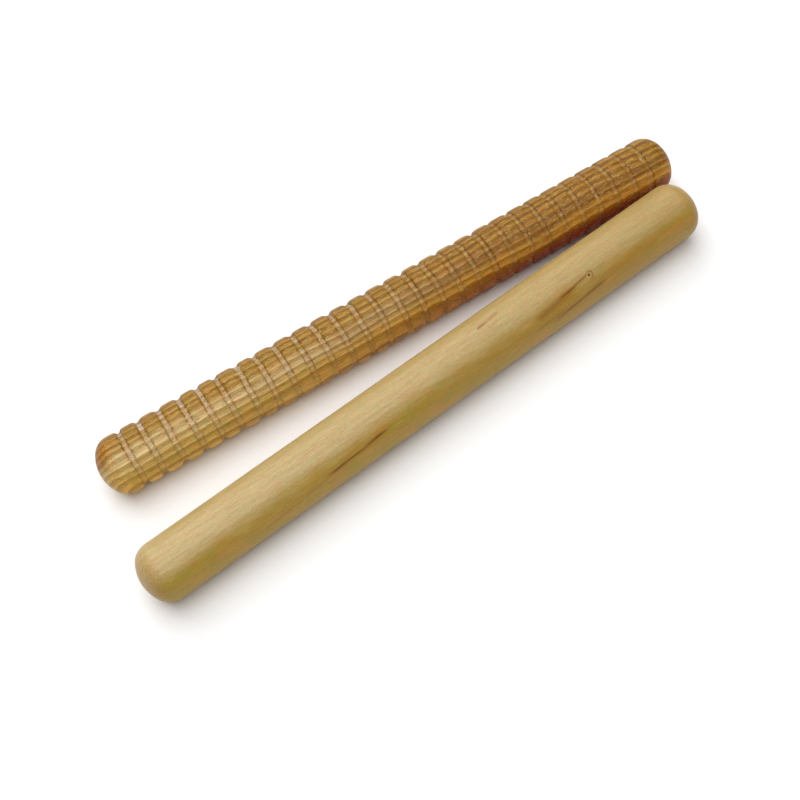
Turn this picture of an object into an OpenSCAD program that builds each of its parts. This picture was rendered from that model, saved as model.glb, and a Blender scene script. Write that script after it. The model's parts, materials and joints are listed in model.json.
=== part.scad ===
// A pair of claves: a ridged clave with turned rings, and a smooth clave.
// Both are solid turned wooden sticks that lie on a flat surface, almost parallel.
// +X runs along the ridged clave, +Z is up, and the origin is the middle of the
// pair's footprint, on the surface that the claves lie on.

/* [Clave] */
// Diameter of both claves
clave_d = 20; // [18:0.5:24]
// Length of both claves, tip to tip
clave_l = 219; // [216:1:240]
// Length of each rounded end along the stick
end_l = 7.5; // [7:0.1:8]
// Radius of the turned edge of each rounded end
end_edge_r = 6.5; // [5:0.1:6.5]

/* [Ridges] */
// Number of rings turned into the ridged clave
groove_count = 29; // [3:1:29]
// Distance from one groove to the next
groove_pitch = 7; // [5:0.25:7]
// Width of a full groove where it meets the ridge's full diameter
groove_w = 3; // [2.6:0.1:3.4]
// Depth of a full groove
groove_depth = 0.9; // [0.5:0.05:1]
// Number of grooves at the +X end that are cut less deep
shallow_count = 9; // [0:1:29]
// Depth of those grooves
shallow_depth = 0.65; // [0.3:0.05:0.8]
// Radius of the worn edge of each ridge
ridge_edge_r = 0.6; // [0.2:0.1:0.7]

/* [Layout] */
// Gap between the claves where they lie closest
gap = 1.5; // [1:0.1:10]
// Angle by which the smooth clave is turned away from the ridged one
splay = 5.7; // [1:0.1:15]
// How far the smooth clave's middle lies towards -X from the ridged clave's middle
set_back = 5.1; // [0:0.1:20]

/* [Hidden] */
$fn = 96;
clave_r = clave_d / 2;
straight_l = clave_l - 2 * end_l;
full_count = groove_count - shallow_count;

// The blunt end is a shallow crown arc that runs into the edge arc without a corner.
edge_centre_r = clave_r - end_edge_r;
crown_r = (edge_centre_r ^ 2 + end_l ^ 2 - end_edge_r ^ 2) / (2 * (end_l - end_edge_r));
crown_edge_r = crown_r * edge_centre_r / (crown_r - end_edge_r);

// Half of a groove's outline: the worn edge is an arc that runs into a straight, sloping flank.
flank_angle = 45;
edge_steps = 3;
edge_arc = [for (i = [0 : edge_steps]) flank_angle * i / edge_steps];
edge_w = ridge_edge_r * sin(flank_angle);
edge_depth = ridge_edge_r * (1 - cos(flank_angle));
floor_half_w = groove_w / 2 - edge_w - (groove_depth - edge_depth) / tan(flank_angle);
cutter_r = clave_r + 1;

// Half of the smooth clave's reach along X and along Y, seen from above.
smooth_reach_x = (clave_l / 2 - crown_r) * cos(splay) + crown_r;
smooth_reach_y = straight_l / 2 * sin(splay) + edge_centre_r * cos(splay) + end_edge_r;

// The claves' middles, measured from the middle of the pair's footprint.
side_step = clave_r + gap + smooth_reach_y;
high_x = max(clave_l / 2, smooth_reach_x - set_back);
low_x = min(-clave_l / 2, -smooth_reach_x - set_back);
ridged_pos = [-(high_x + low_x) / 2, (side_step + smooth_reach_y - clave_r) / 2, clave_r];
smooth_pos = ridged_pos - [set_back, side_step, 0];

// Half section of a plain clave, with its axis on the Y axis.
module stick_section() {
    translate([0, -straight_l / 2])
        square([clave_r, straight_l]);
    for (side = [0, 1])
        mirror([0, side])
            end_section();
}

// Half section of one rounded end.
module end_section() {
    intersection() {
        translate([edge_centre_r, straight_l / 2])
            circle(r = end_edge_r);
        translate([0, straight_l / 2 - end_l])
            square([clave_d, 2 * end_l]);
    }
    intersection() {
        translate([0, clave_l / 2 - crown_r])
            circle(r = crown_r);
        translate([0, straight_l / 2])
            square([crown_edge_r, end_l]);
    }
}

// Section of the tool that turns one groove. The floor keeps its width at any depth, so a groove
// that is cut less deep is narrower where it meets the full diameter.
module groove_section(depth) {
    half_w = groove_w / 2 - (groove_depth - depth) / tan(flank_angle);
    edge = [
        for (a = edge_arc)
            [clave_r - ridge_edge_r * (1 - cos(a)), half_w - ridge_edge_r * sin(a)]
    ];
    upper = concat([[cutter_r, half_w]], edge, [[clave_r - depth, floor_half_w]]);
    lower = [for (i = [len(upper) - 1 : -1 : 0]) [upper[i][0], -upper[i][1]]];
    polygon(concat(upper, lower));
}

module ridged_clave() {
    color("peru")
        translate(ridged_pos)
            rotate([0, 90, 0])
                rotate_extrude()
                    difference() {
                        stick_section();
                        for (i = [0 : groove_count - 1])
                            translate([0, (i - (groove_count - 1) / 2) * groove_pitch])
                                groove_section(i < full_count ? groove_depth : shallow_depth);
                    }
}

module smooth_clave() {
    color("burlywood")
        translate(smooth_pos)
            rotate([0, 90, splay])
                rotate_extrude()
                    stick_section();
}

ridged_clave();
smooth_clave();
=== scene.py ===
"""A pair of turned wooden claves on a pale studio floor: a ridged one of striped wood, and a smooth one
of pale wood. Lengths are millimetres until they reach Blender, which works in metres."""

import json
import math

import bpy
import numpy as np
from mathutils import Matrix, Vector


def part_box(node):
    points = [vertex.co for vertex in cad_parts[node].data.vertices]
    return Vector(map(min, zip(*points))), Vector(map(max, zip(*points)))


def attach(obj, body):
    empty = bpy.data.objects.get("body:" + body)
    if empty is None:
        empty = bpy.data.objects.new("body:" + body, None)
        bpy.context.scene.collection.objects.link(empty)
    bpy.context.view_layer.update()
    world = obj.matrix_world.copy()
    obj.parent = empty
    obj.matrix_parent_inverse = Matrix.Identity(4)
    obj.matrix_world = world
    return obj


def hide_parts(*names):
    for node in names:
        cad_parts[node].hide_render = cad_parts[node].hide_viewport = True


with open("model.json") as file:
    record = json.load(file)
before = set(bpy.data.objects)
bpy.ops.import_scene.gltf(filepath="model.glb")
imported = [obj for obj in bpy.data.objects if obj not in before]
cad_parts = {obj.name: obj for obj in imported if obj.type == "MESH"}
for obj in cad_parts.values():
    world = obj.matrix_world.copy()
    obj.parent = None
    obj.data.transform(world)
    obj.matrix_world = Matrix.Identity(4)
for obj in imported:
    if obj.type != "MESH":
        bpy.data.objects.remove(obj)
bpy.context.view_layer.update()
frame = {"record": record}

MM = 0.001
SEED = 29

# Both sticks, as part.scad has them.
END_EDGE_R = 6.5
GROOVE_COUNT = 29
GROOVE_PITCH = 7.0
GROOVE_W = 3.0
GROOVE_DEPTH = 0.9
SHALLOW_COUNT = 9
SHALLOW_DEPTH = 0.65

# The camera, aimed at a point on the floor near the middle of the ridged clave.
CAMERA_AZIMUTH = -19.14
CAMERA_ELEVATION = 57.17
CAMERA_ROLL = -13.91
CAMERA_DISTANCE = 422.7
CAMERA_AIM = (-14.76, -25.39)
CAMERA_LENS = 58.32


def mount(name):
    """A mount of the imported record, in mm: its middle, its axis turned towards +X, and its sizes."""
    found = next(m for m in frame["record"]["mounts"] if m["name"] == name)
    axis = Vector(found["axis"])
    if axis.x < 0:
        axis = -axis
    return Vector(found["pos_m"]) / MM, axis.normalized(), found["dims"]


RIDGED_MIDDLE, RIDGED_AXIS, SHAFT = mount("ridged_shaft")
SMOOTH_MIDDLE, SMOOTH_AXIS, _ = mount("smooth_shaft")
LOW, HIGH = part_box("ridged_clave")
STICK_R = SHAFT["r_mm"]
STICK_HALF = (HIGH - LOW).x / 2 / MM
STRAIGHT_HALF = SHAFT["length_mm"] / 2
END_L = STICK_HALF - STRAIGHT_HALF

# The factor that shrinks the visual sticks, so that they stay inside the CAD model's box.
FIT = 0.9999


# ---------------------------------------------------------------- shapes


def smoothstep(low, high, value):
    t = np.clip((value - low) / (high - low), 0, 1)
    return t * t * (3 - 2 * t)


def end_stations(crown_steps, edge_steps):
    """(distance along the stick, radius) from where an end begins to round to just short of its tip."""
    centre_r = STICK_R - END_EDGE_R
    crown_r = (centre_r**2 + END_L**2 - END_EDGE_R**2) / (2 * (END_L - END_EDGE_R))
    join = math.asin(centre_r / (crown_r - END_EDGE_R))
    edge = [math.pi / 2 - (math.pi / 2 - join) * i / edge_steps for i in range(1, edge_steps + 1)]
    crown = [join * (1 - i / crown_steps) for i in range(1, crown_steps)]
    stations = [
        (STRAIGHT_HALF + END_EDGE_R * math.cos(a), centre_r + END_EDGE_R * math.sin(a)) for a in edge
    ]
    stations += [
        (STICK_HALF - crown_r + crown_r * math.cos(a), crown_r * math.sin(a)) for a in crown
    ]
    return stations


def both_ways(offsets):
    """The same offsets on both sides of zero, in order."""
    return sorted([-o for o in offsets if o > 0] + list(offsets))


def ripple(rng, angles, low, high):
    """A smooth random curve round the stick, about -1 to 1, with low to high waves in a turn."""
    waves = np.arange(low, high + 1)
    size = rng.normal(size=len(waves)) / np.sqrt(len(waves))
    phase = rng.uniform(0, 2 * math.pi, len(waves))
    return (size[:, None] * np.cos(waves[:, None] * angles + phase[:, None])).sum(0)


def blurred(values, rows, columns):
    """A grid of values, averaged over its neighbours along the stick and, wrapped, round it."""
    out = values
    for _ in range(columns):
        out = (np.roll(out, 1, 1) + 2 * out + np.roll(out, -1, 1)) / 4
    for _ in range(rows):
        padded = np.pad(out, ((1, 1), (0, 0)), "edge")
        out = (padded[:-2] + 2 * padded[1:-1] + padded[2:]) / 4
    return out / max(out.std(), 1e-9)


def store(mesh, name, kind, values):
    """Keeps a number or a vector for each point of the mesh, for its material to read."""
    field = "vector" if kind == "FLOAT_VECTOR" else "value"
    mesh.attributes.new(name, kind, "POINT").data.foreach_set(field, values.astype(np.float32).ravel())


def lathe(name, along, radius, angles, middle, axis):
    """A closed mesh from a grid of rings, with a point at each tip, laid along the axis."""
    rings, segments = radius.shape
    across = radius * np.sin(angles)
    up = radius * np.cos(angles)
    points = np.stack([along, across, up], -1).reshape(-1, 3)
    points = np.vstack([points, [[-STICK_HALF, 0, 0], [STICK_HALF, 0, 0]]]) * FIT
    first, last = len(points) - 2, len(points) - 1
    faces = []
    for i in range(rings - 1):
        for j in range(segments):
            k = (j + 1) % segments
            a, b = i * segments, (i + 1) * segments
            faces.append((a + j, a + k, b + k, b + j))
    end = (rings - 1) * segments
    for j in range(segments):
        k = (j + 1) % segments
        faces.append((first, k, j))
        faces.append((last, end + j, end + k))
    to_row = np.array((axis, Vector((0, 0, 1)).cross(axis), (0, 0, 1)))
    mesh = bpy.data.meshes.new(name)
    mesh.from_pydata(((points @ to_row + middle) * MM).tolist(), [], faces)
    mesh.shade_smooth()
    mesh.update()
    store(mesh, "stick_mm", "FLOAT_VECTOR", points)
    return mesh


def turned(segments):
    return np.arange(segments) * 2 * math.pi / segments


def interpolated(nominal, where, grid):
    """A grid of values given at places along the stick, read off at every ring of points."""
    return np.stack([np.interp(nominal, where, column) for column in grid.T], axis=1)


# The part of a groove's depth that is the rounding of the ridges beside it.
BARREL = 0.22

# The distances from a groove's middle at which the ridged clave has rings of points, and how many
# points there are round each ring.
GROOVE_STATIONS = (0.0, 0.35, 0.65, 0.9, 1.1, 1.3, 1.55, 2.1, 2.8)
RIDGED_SEGMENTS = 172
RIDGED_END_STEPS = (12, 11)

# Larger chips: the groove's number, how far the chip is from the groove's middle (-1 and 1 are its
# edges), how far round the stick from its top in degrees, and the chip's size in mm.
CHIPS = ((0, -1, -119, 1.3), (25, 0.2, -38, 1.5), (28, -0.4, -14, 2.2), (11, 1, -52, 0.9))
CHIPS += ((6, -1, 12, 1.2), (18, 1, 100, 1.4), (9, -1, 150, 1.2), (22, -1, 60, 1.2))
CHIPS += ((10, 1, 2, 1.3), (12, -1, -22, 1.2), (6, 1, 28, 1.2), (14, 1, -8, 1.0))

# How far a groove's edge is from its middle, for placing chips, and how deep a chip goes, in mm. The
# depth is multiplied by 1.5 at the middle of a larger chip.
CHIP_EDGE = 1.15
CHIP_DEPTH = 0.18

# Rows of random numbers along a stick from which the relief of its grain is made.
GRAIN_ROWS = 24
SANDED_ROWS = 30


def ridged_stations(middles):
    """Each ring of points on the ridged clave: its place along the stick, its radius before any
    groove is cut, and the number of the groove nearest to it."""
    ends = end_stations(*RIDGED_END_STEPS)
    half_pitch = GROOVE_PITCH / 2
    rings = [(-x, r, 0) for x, r in reversed(ends)]
    rings += [(x, STICK_R, 0) for x in (-STRAIGHT_HALF, -middles[-1] - half_pitch)]
    for k, middle in enumerate(middles):
        rings += [(middle + o, STICK_R, k) for o in both_ways(GROOVE_STATIONS) + [half_pitch]]
    rings += [(x, r, GROOVE_COUNT - 1) for x, r in [(STRAIGHT_HALF, STICK_R)] + ends]
    return [np.array(column) for column in zip(*rings)]


def wandering(rng, nominal, middles, angles):
    """How far each point lies from its ring's own place: each groove wanders along the stick as it
    goes round, and the ridges between them follow."""
    wander = [
        rng.normal(0, 0.12) + 0.09 * ripple(rng, angles, 1, 2) + 0.08 * ripple(rng, angles, 3, 12)
        for _ in middles
    ]
    fade = smoothstep(STICK_HALF - 2, STICK_HALF - END_L - 2, abs(nominal))[:, None]
    return interpolated(nominal, middles, np.stack(wander)) * fade


def groove_cut(rng, away, nearest, angles):
    """How deep each point is cut, by its groove and by the rounding of the ridges beside it."""
    # The last grooves are cut less deep. Their flanks slope at 45 degrees, so they are narrower too.
    full = np.arange(GROOVE_COUNT) < GROOVE_COUNT - SHALLOW_COUNT
    nominal_depth = np.where(full, GROOVE_DEPTH, SHALLOW_DEPTH)
    half_width = GROOVE_W / 2 - (GROOVE_DEPTH - nominal_depth)
    depth = [
        cut_depth * (1 + rng.normal(0, 0.09) + 0.05 * ripple(rng, angles, 1, 5))
        for cut_depth in nominal_depth
    ]
    depth = np.stack(depth)[nearest]
    widen = [1 + rng.normal(0, 0.06) + 0.09 * ripple(rng, angles, 2, 14) for _ in nominal_depth]
    widen = np.stack(widen)[nearest]
    flank = 1 - smoothstep(0.25, half_width[nearest][:, None] + 0.25, away / widen)
    barrel = BARREL * depth
    rounding = np.clip(1 - away / (GROOVE_PITCH / 2), 0, 1) ** 2
    return (depth - barrel) * flank + barrel * rounding


def chipped_edges(rng, away, nominal, middles, angles):
    """How badly each point is chipped: small random chips at the ridges' edges, and larger ones."""
    chips = blurred(rng.normal(size=away.shape), 1, 2)
    at_edge = np.exp(-(((away - 1.2) / 0.3) ** 2))
    chipped = at_edge * smoothstep(1.4, 2.6, chips)
    for number, edge, degrees, size in CHIPS:
        round_mm = STICK_R * ((angles - math.radians(degrees) + math.pi) % (2 * math.pi) - math.pi)
        off_edge = nominal - middles[number] - edge * CHIP_EDGE
        spread = (1.8 * off_edge[:, None] ** 2 + round_mm**2) / (size / 2) ** 2
        chipped = np.maximum(chipped, 1.5 * np.exp(-spread))
    return chipped


def ridged_mesh():
    """The ridged clave: hand-turned grooves, each a little off in place, depth and width."""
    rng = np.random.default_rng(SEED)
    angles = turned(RIDGED_SEGMENTS)
    middles = (np.arange(GROOVE_COUNT) - (GROOVE_COUNT - 1) / 2) * GROOVE_PITCH
    nominal, base, nearest = ridged_stations(middles)
    along = nominal[:, None] + wandering(rng, nominal, middles, angles)
    away = abs(nominal - middles[nearest])[:, None] * np.ones(len(angles))
    cut = groove_cut(rng, away, nearest, angles)

    # Torn fibres roughen the groove's floor.
    rough = blurred(rng.normal(size=away.shape), 0, 1)
    cut += 0.05 * rough * (1 - smoothstep(0.5, 1.2, away))
    chipped = chipped_edges(rng, away, nominal, middles, angles)
    cut += CHIP_DEPTH * chipped

    # Long low ridges of harder grain run along the whole stick.
    grain = blurred(rng.normal(size=(GRAIN_ROWS, len(angles))), 0, 1)
    relief = interpolated(nominal, np.linspace(-STICK_HALF, STICK_HALF, GRAIN_ROWS), grain)
    cut += 0.012 * (relief - relief.min()) * np.minimum(base / STICK_R, 1)[:, None]

    radius = base[:, None] - np.clip(cut, 0, None)
    mesh = lathe("ridged_wood", along, radius, angles, RIDGED_MIDDLE, RIDGED_AXIS)
    store(mesh, "groove_distance", "FLOAT", np.append(away, [GROOVE_PITCH, GROOVE_PITCH]))
    store(mesh, "chipped", "FLOAT", np.append(chipped, [0, 0]))
    return mesh


# Points round each ring of the smooth clave, rings along its straight part, and steps in its ends.
SMOOTH_SEGMENTS = 192
SMOOTH_RINGS = 360
SMOOTH_END_STEPS = (14, 13)


def smooth_mesh():
    """The smooth clave: sanded dowel, whose shaft lies up to 0.12 mm under its full radius."""
    rng = np.random.default_rng(SEED + 1)
    angles = turned(SMOOTH_SEGMENTS)
    ends = end_stations(*SMOOTH_END_STEPS)
    stations = [(-x, r) for x, r in reversed(ends)]
    stations += [(x, STICK_R) for x in np.linspace(-STRAIGHT_HALF, STRAIGHT_HALF, SMOOTH_RINGS)]
    stations += ends
    nominal, base = (np.array(column) for column in zip(*stations))
    coarse = blurred(rng.normal(size=(SANDED_ROWS, len(angles))), 1, 10)
    relief = interpolated(nominal, np.linspace(-STICK_HALF, STICK_HALF, SANDED_ROWS), coarse)
    cut = 0.018 * (relief - relief.min()) * (base / STICK_R)[:, None]
    along = nominal[:, None] * np.ones(len(angles))
    return lathe("smooth_wood", along, base[:, None] - cut, angles, SMOOTH_MIDDLE, SMOOTH_AXIS)


# ---------------------------------------------------------------- materials


def linear(red, green, blue):
    """A colour given as it looks on screen, 0 to 255, in Blender's linear values."""
    out = []
    for c in (red, green, blue):
        c /= 255
        out.append(c / 12.92 if c <= 0.04045 else ((c + 0.055) / 1.055) ** 2.4)
    return (*out, 1)


class Nodes:
    """Builds one material's node tree. Values may be numbers, colours or other nodes' outputs."""

    def __init__(self, name):
        self.material = bpy.data.materials.new(name)
        self.material.use_nodes = True
        self.tree = self.material.node_tree
        self.shader = self.tree.nodes["Principled BSDF"]

    def feed(self, socket, value):
        if isinstance(value, bpy.types.NodeSocket):
            self.tree.links.new(value, socket)
        else:
            socket.default_value = value

    def put(self, kind, inputs, output=0, **settings):
        node = self.tree.nodes.new(kind)
        for key, value in settings.items():
            setattr(node, key, value)
        for socket, value in inputs.items():
            self.feed(node.inputs[socket], value)
        return node.outputs[output]

    def math(self, operation, a, b=0.0, clamp=False):
        return self.put("ShaderNodeMath", {0: a, 1: b}, operation=operation, use_clamp=clamp)

    def add(self, a, b):
        return self.math("ADD", a, b)

    def times(self, a, b):
        return self.math("MULTIPLY", a, b)

    def less(self, a, b):
        return self.math("SUBTRACT", a, b)

    def vector(self, x, y, z):
        return self.put("ShaderNodeCombineXYZ", {0: x, 1: y, 2: z})

    def noise(self, vector, detail=2.0, roughness=0.5):
        """Noise about 0.5, one cell to each unit of the vector."""
        inputs = {"Vector": vector, "Scale": 1.0, "Detail": detail, "Roughness": roughness}
        return self.put("ShaderNodeTexNoise", inputs)

    def within(self, value, low, high, to_low=0.0, to_high=1.0):
        """Takes value from low..high to to_low..to_high, smoothly, and no further."""
        inputs = {"Value": value, "From Min": low, "From Max": high}
        inputs.update({"To Min": to_low, "To Max": to_high})
        return self.put("ShaderNodeMapRange", inputs, interpolation_type="SMOOTHSTEP")

    def within_plain(self, value, low, high, to_low=0.0, to_high=1.0):
        """As within, in a straight line."""
        inputs = {"Value": value, "From Min": low, "From Max": high}
        inputs.update({"To Min": to_low, "To Max": to_high})
        return self.put("ShaderNodeMapRange", inputs)

    def tint(self, value, low, high):
        """A colour that goes from low to high as value goes from 0 to 1."""
        return self.vector(*(self.within_plain(value, 0, 1, a, b) for a, b in zip(low, high)))

    def mix(self, factor, a, b, blend="MIX"):
        inputs = {0: factor, 6: a, 7: b}
        return self.put("ShaderNodeMix", inputs, output=2, data_type="RGBA", blend_type=blend)

    def ramp(self, factor, stops):
        node = self.tree.nodes.new("ShaderNodeValToRGB")
        points = node.color_ramp.elements
        while len(points) < len(stops):
            points.new(0.5)
        for point, (position, colour) in zip(points, stops):
            point.position = position
            point.color = colour
        self.feed(node.inputs[0], factor)
        return node.outputs[0]

    def bump(self, height, strength, distance, normal=None):
        inputs = {"Height": height, "Strength": strength, "Distance": distance}
        if normal is not None:
            inputs["Normal"] = normal
        return self.put("ShaderNodeBump", inputs)

    def stick_position(self):
        """Where a point is on its stick, in mm: along it, across it and up."""
        place = self.put("ShaderNodeAttribute", {}, output=1, attribute_name="stick_mm")
        split = self.tree.nodes.new("ShaderNodeSeparateXYZ")
        self.feed(split.inputs[0], place)
        return tuple(split.outputs)

    def end_grain(self, x, colour):
        """The colour, darker and warmer over the rounded ends, where the grain is cut across."""
        over_end = self.within(self.math("ABSOLUTE", x), STRAIGHT_HALF, STICK_HALF)
        return self.mix(over_end, colour, self.mix(1.0, colour, (0.88, 0.80, 0.62, 1), "MULTIPLY"))

    def turned_about(self, across, up, degrees):
        """The two cross-section coordinates, turned about the stick's axis."""
        c, s = math.cos(math.radians(degrees)), math.sin(math.radians(degrees))
        return (
            self.add(self.times(across, c), self.times(up, s)),
            self.less(self.times(up, c), self.times(across, s)),
        )


# The ridged clave's wood on its pale sapwood end and on its heartwood end, as colours across the
# layers of the wood, from the lower front of the stick to the upper back.
# The sapwood colours are partly the wood and partly painted sheen: their paleness, most in the middle
# stops, stands in for the light's highlight.
SAPWOOD_AND_SHEEN = ((0.05, (200, 152, 54)), (0.30, (206, 168, 90)), (0.50, (203, 170, 113)))
SAPWOOD_AND_SHEEN += ((0.61, (177, 140, 74)), (0.72, (153, 111, 32)), (0.97, (151, 110, 38)))
HEARTWOOD = ((0.05, (168, 102, 14)), (0.15, (182, 120, 34)), (0.29, (186, 131, 48)))
HEARTWOOD += ((0.37, (160, 109, 40)), (0.43, (138, 90, 26)), (0.52, (146, 99, 30)))
HEARTWOOD += ((0.66, (146, 100, 22)), (0.79, (134, 89, 10)), (0.97, (149, 107, 38)))
# A dark red, partly the wood's own and partly painted contact shadow with the smooth clave's reflected
# red.
RED_WOOD_AND_CONTACT_SHADE = (128, 36, 8)

VARNISH_IOR = 1.45


# How far the layers of both sticks' wood are turned from level, in degrees.
LAYER_TURN = 31

# Where the middle of the ridged clave lies from the tree's pith, across the layers and along them,
# and the typical width of a year's growth, in mm.
FROM_PITH = (52, -10)
YEAR_W = 2.3


def growth_rings(n, x, layer, depth):
    """Gently curved layers, seen edge on from the front, that wander along the stick: how far a
    point is through its year's growth, and a number for the year."""
    slow = n.vector(n.times(x, 1 / 60), n.times(layer, 1 / 12), n.times(depth, 1 / 12))
    warp = n.less(n.noise(slow, 2.0), 0.5)
    curve_a = n.add(layer, FROM_PITH[0])
    curve_b = n.add(depth, FROM_PITH[1])
    squares = n.add(n.times(curve_a, curve_a), n.times(curve_b, curve_b))
    ring = n.add(n.math("SQRT", squares), n.times(warp, 5.0))
    uneven = n.noise(n.vector(n.times(ring, 1 / 5), 0.0, 3.0), 1.0)
    count = n.add(n.times(ring, 1 / YEAR_W), n.times(uneven, 1.6))
    year = n.noise(n.vector(n.times(n.math("FLOOR", count), 3.7), 1.0, 0.0), 0.0)
    return n.math("FRACT", count), year


def ridged_ground(n, x, layer, depth):
    """The striped wood's colour, with painted sheen and painted contact shadow in it, and how far a
    point lies towards the heartwood end.
    """
    blotch = n.vector(n.times(x, 1 / 30), n.times(layer, 1 / 6), n.times(depth, 1 / 6))
    uneven_edge = n.times(n.less(n.noise(blotch, 2.0), 0.5), 6.0)
    uneven_layer = n.add(layer, uneven_edge)
    layer_part = n.within_plain(uneven_layer, -STICK_R, STICK_R)
    # The sapwood colours hold painted sheen, so the left end and the middle layers look lit.
    sapwood = n.ramp(layer_part, [(at, linear(*c)) for at, c in SAPWOOD_AND_SHEEN])
    heartwood = n.ramp(layer_part, [(at, linear(*c)) for at, c in HEARTWOOD])
    heart = n.within(n.add(x, n.times(uneven_edge, 3.0)), -75, 45)
    colour = n.mix(heart, sapwood, heartwood)
    dome = n.times(n.within(x, -106, -97, 1.0, 0.0), n.within(uneven_layer, 1.0, 3.0))
    colour = n.mix(n.times(dome, 0.6), colour, linear(160, 104, 28))
    # A dark red band low on the front of the heartwood end, where it faces the smooth clave: partly the
    # wood's own colour, partly painted contact shadow and painted reflection of the smooth clave.
    low = n.within(n.add(layer, n.times(uneven_edge, 0.4)), -8.6, -6.0, 1.0, 0.0)
    red = n.times(low, n.within(n.add(x, n.times(uneven_edge, 4.0)), -5, 62))
    return n.mix(red, colour, linear(*RED_WOOD_AND_CONTACT_SHADE)), heart


def striped(n, colour, phase, year, heart):
    """The colour with its stripes, a thin light line and a wider dark band each year."""
    bright = [(0.00, 0.95), (0.16, 0.82), (0.34, 0.50), (0.62, 0.08), (0.84, 0.18), (0.95, 1.0)]
    light_line = n.ramp(phase, [(at, (v, v, v, 1)) for at, v in bright])
    strength = n.within_plain(year, 0.3, 0.7, 0.55, 1.15)
    strength = n.times(strength, n.add(n.times(heart, 0.3), 1.0))
    stripe = n.add(n.times(n.less(light_line, 0.45), strength), 0.45)
    tint = n.tint(stripe, (0.72, 0.63, 0.45), (1.40, 1.58, 2.1))
    return n.mix(1.0, colour, tint, "MULTIPLY"), stripe


def ridged_grain(n, colour, place, layer, depth):
    """The colour with fibres, pores and painted glints, drawn out along the grain, and the fibres
    themselves.
    """
    x, across, up = place
    fine = n.vector(n.times(x, 0.10), n.times(layer, 2.6), n.times(depth, 2.6))
    fibres = n.noise(fine, 4.0, 0.65)
    streak = n.within(fibres, 0.32, 0.68)
    colour = n.mix(1.0, colour, n.tint(streak, (0.78, 0.74, 0.66), (1.17, 1.21, 1.28)), "MULTIPLY")
    dashes = n.vector(n.times(x, 0.45), n.times(layer, 4.5), n.times(depth, 4.5))
    dash = n.noise(dashes, 1.0)
    colour = n.mix(n.within(dash, 0.60, 0.72, 0.0, 0.55), colour, linear(96, 60, 20))
    # Pale dashes along the fibres: painted glints, highlights put into the colour on pale fibres.
    colour = n.mix(n.within(dash, 0.30, 0.40, 0.50, 0.0), colour, linear(226, 190, 128))
    cast = n.noise(n.vector(n.times(x, 0.35), n.times(across, 0.6), n.times(up, 0.6)), 3.0, 0.7)
    cast = n.within(cast, 0.32, 0.68)
    colour = n.mix(1.0, colour, n.tint(cast, (1.07, 0.94, 0.90), (0.93, 1.04, 0.98)), "MULTIPLY")
    return n.end_grain(x, colour), fibres


def torn_places(n, fuzz):
    """How far a point is torn away by a chip, with a ragged edge."""
    chipped = n.put("ShaderNodeAttribute", {}, output=2, attribute_name="chipped")
    torn = n.within(n.add(chipped, n.times(n.less(fuzz, 0.5), 2.6)), 0.40, 1.00)
    return n.times(torn, n.within(chipped, 0.12, 0.40))


def groove_corner_shade(n, place, layer, heart, edge):
    """The broken dark line up each side of a groove, faint on one side at the heartwood end: painted
    shade in the groove's corners, with some pooled varnish.
    """
    x, across, up = place
    wall = n.times(n.within(edge, 0.55, 0.85), n.within(edge, 0.95, 1.35, 1.0, 0.0))
    broken = n.noise(n.vector(n.times(x, 0.9), n.times(across, 1.1), n.times(up, 1.1)), 2.0)
    upper = n.within(layer, -7.0, 3.0, 0.45, 1.0)
    part_of_pitch = n.math("FRACT", n.add(n.times(x, 1 / GROOVE_PITCH), 0.5))
    near_side = n.math("GREATER_THAN", part_of_pitch, 0.5)
    one_sided = n.less(1.0, n.times(n.times(n.less(1.0, near_side), heart), 0.75))
    dark = n.times(n.times(wall, upper), n.within(broken, 0.38, 0.58, 0.0, 0.72))
    return n.times(dark, one_sided)


def bare_fibres(n, speck, layer, heart):
    """The colour of torn fibres, whitest on the stick's upper side at its sapwood end, where the
    whiteness is painted highlight.
    """
    stops = ((0.30, (128, 92, 52)), (0.43, (182, 148, 104)))
    stops += ((0.60, (208, 182, 146)), (0.72, (240, 228, 206)))
    bare = n.ramp(speck, [(at, linear(*c)) for at, c in stops])
    # Whiter on the upper side and towards the sapwood end: painted highlight.
    white_where_lit = n.times(n.within(layer, 3.0, 8.0), n.less(0.65, n.times(heart, 0.45)))
    return n.mix(white_where_lit, bare, n.mix(speck, linear(162, 134, 106), linear(244, 234, 220)))


def bareness(n, place, layer, heart, floor, stripe, fibres):
    """How far the groove's floor is bare: in patches, most on the stick's upper side and towards
    its sapwood end, where the paler floor is partly painted highlight."""
    x, across, up = place
    patchy = n.noise(n.vector(n.times(x, 1 / 3), n.times(across, 1 / 2), n.times(up, 1 / 2)))
    bare = n.times(floor, n.within(patchy, 0.38, 0.62, 0.25, 1.0))
    bare = n.times(bare, n.within_plain(stripe, 0.0, 1.0, 0.50, 1.0))
    bare = n.times(bare, n.within(fibres, 0.30, 0.55, 0.60, 1.0))
    # Less bare, and so darker, towards the heartwood end and low on the stick, and paler up top: partly
    # painted highlight.
    bare = n.times(bare, n.less(1.0, n.times(heart, 0.65)))
    return n.times(bare, n.within(layer, -5.5, 4.5, 0.22, 1.0))


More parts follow.
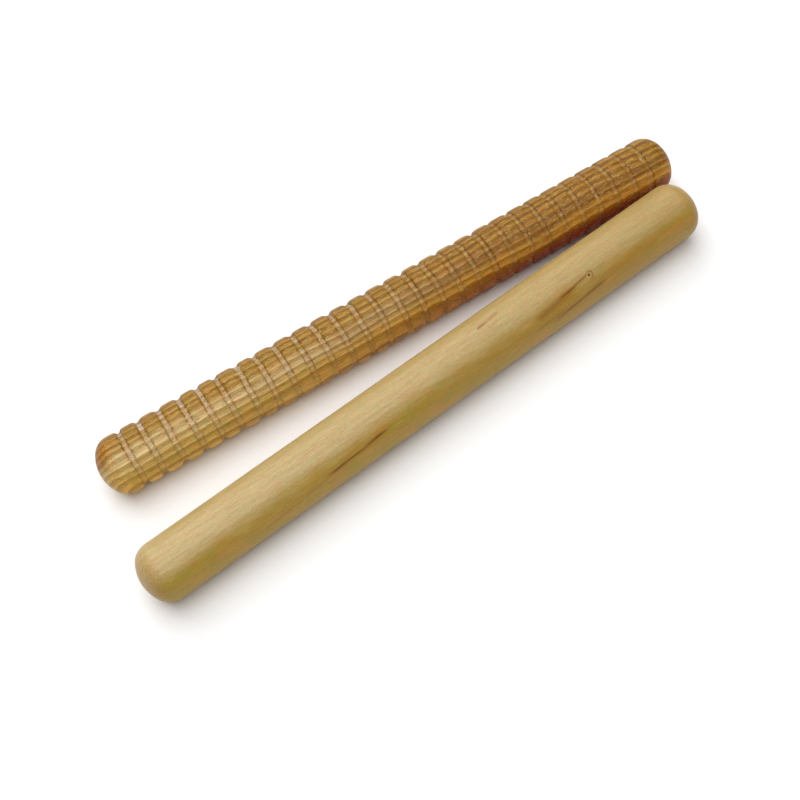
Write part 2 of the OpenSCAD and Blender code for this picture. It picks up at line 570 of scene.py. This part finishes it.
def ridged_wood():
    """Striped wood under satin varnish, with bare torn fibres where the grooves are cut."""
    n = Nodes("striped_wood")
    place = n.stick_position()
    x, across, up = place
    layer, depth = n.turned_about(across, up, LAYER_TURN)
    phase, year = growth_rings(n, x, layer, depth)
    colour, heart = ridged_ground(n, x, layer, depth)
    colour, stripe = striped(n, colour, phase, year, heart)
    colour, fibres = ridged_grain(n, colour, place, layer, depth)

    # The grooves: a fuzzy floor of torn fibres, and the dark lines on their walls, which are painted
    # shade.
    groove = n.put("ShaderNodeAttribute", {}, output=2, attribute_name="groove_distance")
    fuzz = n.noise(n.vector(n.times(x, 1.5), n.times(across, 1.1), n.times(up, 1.1)), 3.0, 0.7)
    edge = n.add(groove, n.times(n.less(fuzz, 0.5), 1.5))
    floor = n.within(edge, 0.60, 0.95, 1.0, 0.0)
    torn = torn_places(n, fuzz)
    dark = n.times(groove_corner_shade(n, place, layer, heart, edge), n.less(1.0, torn))
    speck = n.noise(n.vector(n.times(x, 3.0), n.times(across, 2.4), n.times(up, 2.4)), 2.0, 0.7)
    # The groove walls' dark lines: painted shade in the corners, with some pooled varnish.
    colour = n.mix(dark, colour, linear(96, 58, 20))
    dusty = n.mix(1.0, colour, (1.04, 1.08, 1.32, 1), "MULTIPLY")
    colour = n.mix(floor, colour, dusty)
    bare = bareness(n, place, layer, heart, floor, stripe, fibres)
    colour = n.mix(bare, colour, bare_fibres(n, speck, layer, heart))
    torn_wood = n.mix(n.within(speck, 0.35, 0.65), linear(150, 108, 58), linear(236, 210, 164))
    colour = n.mix(n.times(torn, 0.55), colour, torn_wood)
    n.feed(n.shader.inputs["Base Color"], colour)

    roughness = n.within(fibres, 0.3, 0.7, 0.40, 0.54)
    n.feed(n.shader.inputs["Roughness"], n.add(roughness, n.times(floor, 0.35)))
    height = n.add(n.times(fibres, 0.7), n.times(n.times(speck, floor), 1.2))
    n.feed(n.shader.inputs["Normal"], n.bump(height, 0.5, 0.15 * MM))
    n.shader.inputs["IOR"].default_value = VARNISH_IOR
    n.shader.inputs["Specular IOR Level"].default_value = 0.25
    return n.material


# Dark marks in the smooth clave: along the stick and round it where each begins and ends,
# in mm, its width, and how dark it is.
MARKS = (
    ((-48.0, -11.2), (-20.0, -9.2), 0.65, 1.00),
    ((-72.0, -13.8), (-44.0, -11.2), 0.50, 0.35),
    ((19.4, 0.4), (24.6, 0.8), 0.45, 0.85),
    ((23.6, 0.9), (29.4, 1.3), 0.40, 0.70),
    ((36.0, -8.8), (55.0, -6.9), 1.90, 0.45),
    ((47.5, -7.2), (55.5, -6.7), 0.55, 1.00),
    ((52.5, -6.9), (63.0, -5.3), 0.45, 0.85),
    ((41.0, -13.2), (68.0, -10.6), 0.85, 0.80),
    ((34.0, -12.2), (50.0, -11.4), 0.70, 0.35),
)
KNOT = (60.7, -6.3)
KNOT_R = 0.55


def smooth_ground(n, x, across, up):
    """The pale wood's colour with painted highlight fading along it, its golden flank partly painted
    shade, and the slow clouds in it.
    """
    far_along = n.within_plain(x, -90, 90)
    slow = n.vector(n.times(x, 1 / 45), n.times(across, 1 / 7), n.times(up, 1 / 7))
    cloud = n.noise(slow, 2.0)
    # Paler at the left end and darker at the right: painted highlight, the light's sheen fading along
    # the stick.
    colour = n.mix(far_along, linear(198, 173, 123), linear(180, 151, 94))
    colour = n.mix(n.times(cloud, 0.4), colour, linear(172, 140, 80))
    layer, _ = n.turned_about(across, up, LAYER_TURN)
    patch = n.vector(n.times(x, 1 / 9), n.times(across, 1 / 4), n.times(up, 1 / 4))
    patches = n.less(n.noise(patch, 3.0, 0.6), 0.5)
    edge = n.add(n.times(n.less(cloud, 0.5), 6.0), n.times(patches, 5.0))
    # The lower front flank is darker and golden: partly the wood's own figure, partly painted shade
    # where that side faces away from the light.
    flank = n.within(n.add(layer, edge), -5.4, 1.8, 1.0, 0.0)
    gold_and_shade = n.mix(n.within(patches, -0.10, 0.10), linear(180, 134, 48), linear(160, 136, 28))
    # The flank's gold also darkens towards the right end: painted highlight falling off along the
    # stick.
    even_gold_and_shade = n.mix(far_along, linear(174, 140, 44), linear(164, 122, 28))
    gold_and_shade = n.mix(n.within(cloud, 0.35, 0.65, 0.2, 0.8), gold_and_shade, even_gold_and_shade)
    return n.mix(flank, colour, gold_and_shade), cloud


def smooth_bands(n, colour, place, cloud):
    """The colour with its growth rings, faint bands that slant a little across the stick."""
    x, across, up = place
    slant = n.add(n.times(x, 0.055), n.add(n.times(across, 0.9), n.times(up, 0.45)))
    wave = n.add(n.times(slant, 0.42), n.times(cloud, 2.2))
    band = n.within(n.math("ABSOLUTE", n.less(n.math("FRACT", wave), 0.5)), 0.0, 0.5)
    return n.mix(n.times(band, 0.14), colour, linear(160, 122, 62))


def smooth_grain(n, colour, x, across, up):
    """The colour with its fine grain, and the fibres, mottle and flecks that it's made of."""
    fine = n.vector(n.times(x, 0.14), n.times(across, 2.6), n.times(up, 2.6))
    fibres = n.noise(fine, 4.0, 0.6)
    streak = n.within(fibres, 0.3, 0.7)
    colour = n.mix(1.0, colour, n.tint(streak, (0.89, 0.87, 0.80), (1.08, 1.10, 1.14)), "MULTIPLY")
    mottle = n.noise(n.vector(n.times(x, 1.1), n.times(across, 2.0), n.times(up, 2.0)), 3.0, 0.8)
    mottle = n.within(mottle, 0.3, 0.7)
    colour = n.mix(1.0, colour, n.tint(mottle, (0.92, 0.90, 0.84), (1.06, 1.07, 1.12)), "MULTIPLY")
    cast = n.noise(n.vector(n.times(x, 0.30), n.times(across, 0.5), n.times(up, 0.5)), 3.0, 0.7)
    cast = n.within(cast, 0.32, 0.68)
    colour = n.mix(1.0, colour, n.tint(cast, (1.04, 0.97, 0.92), (0.95, 1.03, 0.96)), "MULTIPLY")
    rays = n.vector(n.times(x, 0.55), n.times(across, 4.5), n.times(up, 4.5))
    flecks = n.within(n.noise(rays, 1.0), 0.62, 0.74)
    return n.mix(n.times(flecks, 0.28), colour, linear(140, 98, 48)), fibres, mottle, flecks


def marked(n, colour, x, round_mm, fibres):
    """The colour with the dark marks, each in a golden halo."""
    for (x0, a0), (x1, a1), width, darkness in MARKS:
        slope = (a1 - a0) / (x1 - x0)
        line = n.add(n.times(n.less(x, x0), slope), a0)
        ragged = n.times(n.less(fibres, 0.5), 1.4)
        off = n.math("ABSOLUTE", n.add(n.less(round_mm, line), ragged))
        middle, half = (x0 + x1) / 2, (x1 - x0) / 2
        beyond = n.within(n.math("ABSOLUTE", n.less(x, middle)), half * 0.55, half, 1.0, 0.0)
        halo = n.times(n.within(off, 0.0, width * 2.6, 1.0, 0.0), beyond)
        colour = n.mix(n.times(halo, darkness * 0.50), colour, linear(158, 112, 26))
        mark = n.times(n.within(off, 0.0, width, 1.0, 0.0), beyond)
        colour = n.mix(n.times(mark, darkness), colour, linear(122, 70, 8))
    return colour


def knotted(n, colour, x, round_mm, mottle):
    """The colour with the pin knot, a dark core in a pale ring inside a thin brown one."""
    along = n.less(x, KNOT[0])
    aside = n.less(round_mm, KNOT[1])
    apart = n.math("SQRT", n.add(n.times(along, along), n.times(aside, aside)))
    ring_in = n.within(apart, KNOT_R * 1.4, KNOT_R * 2.2)
    ring_out = n.within(apart, KNOT_R * 2.2, KNOT_R * 3.4, 1.0, 0.0)
    ring = n.times(n.times(ring_in, ring_out), n.within(n.add(along, mottle), -0.6, 1.2))
    colour = n.mix(n.within(apart, KNOT_R, KNOT_R * 2.4, 0.45, 0.0), colour, linear(204, 164, 92))
    colour = n.mix(n.times(ring, 0.60), colour, linear(132, 86, 24))
    core = n.within(apart, KNOT_R * 0.6, KNOT_R * 1.1, 1.0, 0.0)
    return n.mix(n.times(core, 0.92), colour, linear(60, 36, 14)), core


def smooth_wood():
    """Pale, close-grained wood under satin varnish, with dark marks and one pin knot."""
    n = Nodes("pale_wood")
    place = n.stick_position()
    x, across, up = place
    round_mm = n.times(n.math("ARCTAN2", across, up), STICK_R)
    colour, cloud = smooth_ground(n, x, across, up)
    colour = smooth_bands(n, colour, place, cloud)
    colour, fibres, mottle, flecks = smooth_grain(n, colour, x, across, up)
    colour = marked(n, colour, x, round_mm, fibres)
    colour, core = knotted(n, colour, x, round_mm, mottle)
    n.feed(n.shader.inputs["Base Color"], n.end_grain(x, colour))

    n.feed(n.shader.inputs["Roughness"], n.within(fibres, 0.3, 0.7, 0.36, 0.46))
    height = n.less(n.times(fibres, 0.5), n.times(flecks, 0.4))
    height = n.less(height, n.times(core, 1.5))
    n.feed(n.shader.inputs["Normal"], n.bump(height, 0.35, 0.1 * MM))
    n.shader.inputs["IOR"].default_value = VARNISH_IOR
    return n.material


FLOOR_HALF = 5.0


def floor_material():
    """A pale matt floor that glows far out from the claves, so that its edge looks white."""
    n = Nodes("studio_floor")
    place = n.put("ShaderNodeTexCoord", {}, output=3)
    away = n.put("ShaderNodeVectorMath", {0: place}, output=1, operation="LENGTH")
    n.shader.inputs["Emission Color"].default_value = (1, 1, 1, 1)
    n.feed(n.shader.inputs["Emission Strength"], n.within(away, 0.2 * FLOOR_HALF, 0.7 * FLOOR_HALF))
    n.shader.inputs["Base Color"].default_value = (0.95, 0.95, 0.95, 1)
    n.shader.inputs["Roughness"].default_value = 0.9
    n.shader.inputs["Specular IOR Level"].default_value = 0.2
    return n.material


# ---------------------------------------------------------------- studio


def studio_floor():
    """A wide pale floor at the height that the claves lie on."""
    half = FLOOR_HALF
    mesh = bpy.data.meshes.new("studio_floor")
    corners = [(-half, -half, 0), (half, -half, 0), (half, half, 0), (-half, half, 0)]
    mesh.from_pydata(corners, [], [(0, 1, 2, 3)])
    mesh.materials.append(floor_material())
    floor = bpy.data.objects.new("studio_floor", mesh)
    bpy.context.scene.collection.objects.link(floor)


# How bright the studio's surround looks, and how bright it is as a light.
SURROUND_SEEN = 1.0
SURROUND_LIGHT = 0.1


def soft_light(name, position, width, length, radiance):
    """A large soft light that faces the claves, as wide as it says along the claves."""
    data = bpy.data.lights.new(name, "AREA")
    data.shape = "RECTANGLE"
    data.size = width
    data.size_y = length
    data.energy = radiance * math.pi * width * length
    light = bpy.data.objects.new(name, data)
    bpy.context.scene.collection.objects.link(light)
    light.location = position
    light.rotation_euler = (-Vector(position)).to_track_quat("-Z", "Y").to_euler()


def studio_lights():
    """One very large light overhead, and a white surround that hardly lights anything."""
    soft_light("overhead", (0.0, 0.75, 3.51), 4.5, 9.3, 2.4)
    world = bpy.data.worlds.new("studio")
    world.use_nodes = True
    tree = world.node_tree
    sky = tree.nodes["Background"]
    sky.inputs["Color"].default_value = (1, 1, 1, 1)
    ray = tree.nodes.new("ShaderNodeLightPath")
    strength = tree.nodes.new("ShaderNodeMath")
    strength.operation = "MULTIPLY_ADD"
    strength.inputs[1].default_value = SURROUND_SEEN - SURROUND_LIGHT
    strength.inputs[2].default_value = SURROUND_LIGHT
    tree.links.new(ray.outputs["Is Camera Ray"], strength.inputs[0])
    tree.links.new(strength.outputs[0], sky.inputs["Strength"])
    bpy.context.scene.world = world


def studio_camera():
    azimuth, elevation = math.radians(CAMERA_AZIMUTH), math.radians(CAMERA_ELEVATION)
    back = Vector(
        (
            math.sin(azimuth) * math.cos(elevation),
            -math.cos(azimuth) * math.cos(elevation),
            math.sin(elevation),
        )
    )
    aim = Vector((RIDGED_MIDDLE.x + CAMERA_AIM[0], RIDGED_MIDDLE.y + CAMERA_AIM[1], 0))
    data = bpy.data.cameras.new("camera")
    data.lens = CAMERA_LENS
    data.clip_start = 0.01
    camera = bpy.data.objects.new("camera", data)
    bpy.context.scene.collection.objects.link(camera)
    level = Matrix.Rotation(azimuth, 4, "Z") @ Matrix.Rotation(math.pi / 2 - elevation, 4, "X")
    roll = Matrix.Rotation(math.radians(CAMERA_ROLL), 4, "Z")
    camera.matrix_world = Matrix.Translation((aim + back * CAMERA_DISTANCE) * MM) @ level @ roll
    bpy.context.scene.camera = camera


def piece(name, mesh, material):
    mesh.materials.append(material)
    made = bpy.data.objects.new(name, mesh)
    bpy.context.scene.collection.objects.link(made)
    return made


def build_claves():
    ridged = piece("ridged_stick", ridged_mesh(), ridged_wood())
    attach(ridged, "ridged")
    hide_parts("ridged_clave")
    smooth = piece("smooth_stick", smooth_mesh(), smooth_wood())
    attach(smooth, "smooth")
    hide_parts("smooth_clave")


bpy.context.scene.view_settings.view_transform = "Standard"
studio_camera()
build_claves()
studio_floor()
studio_lights()
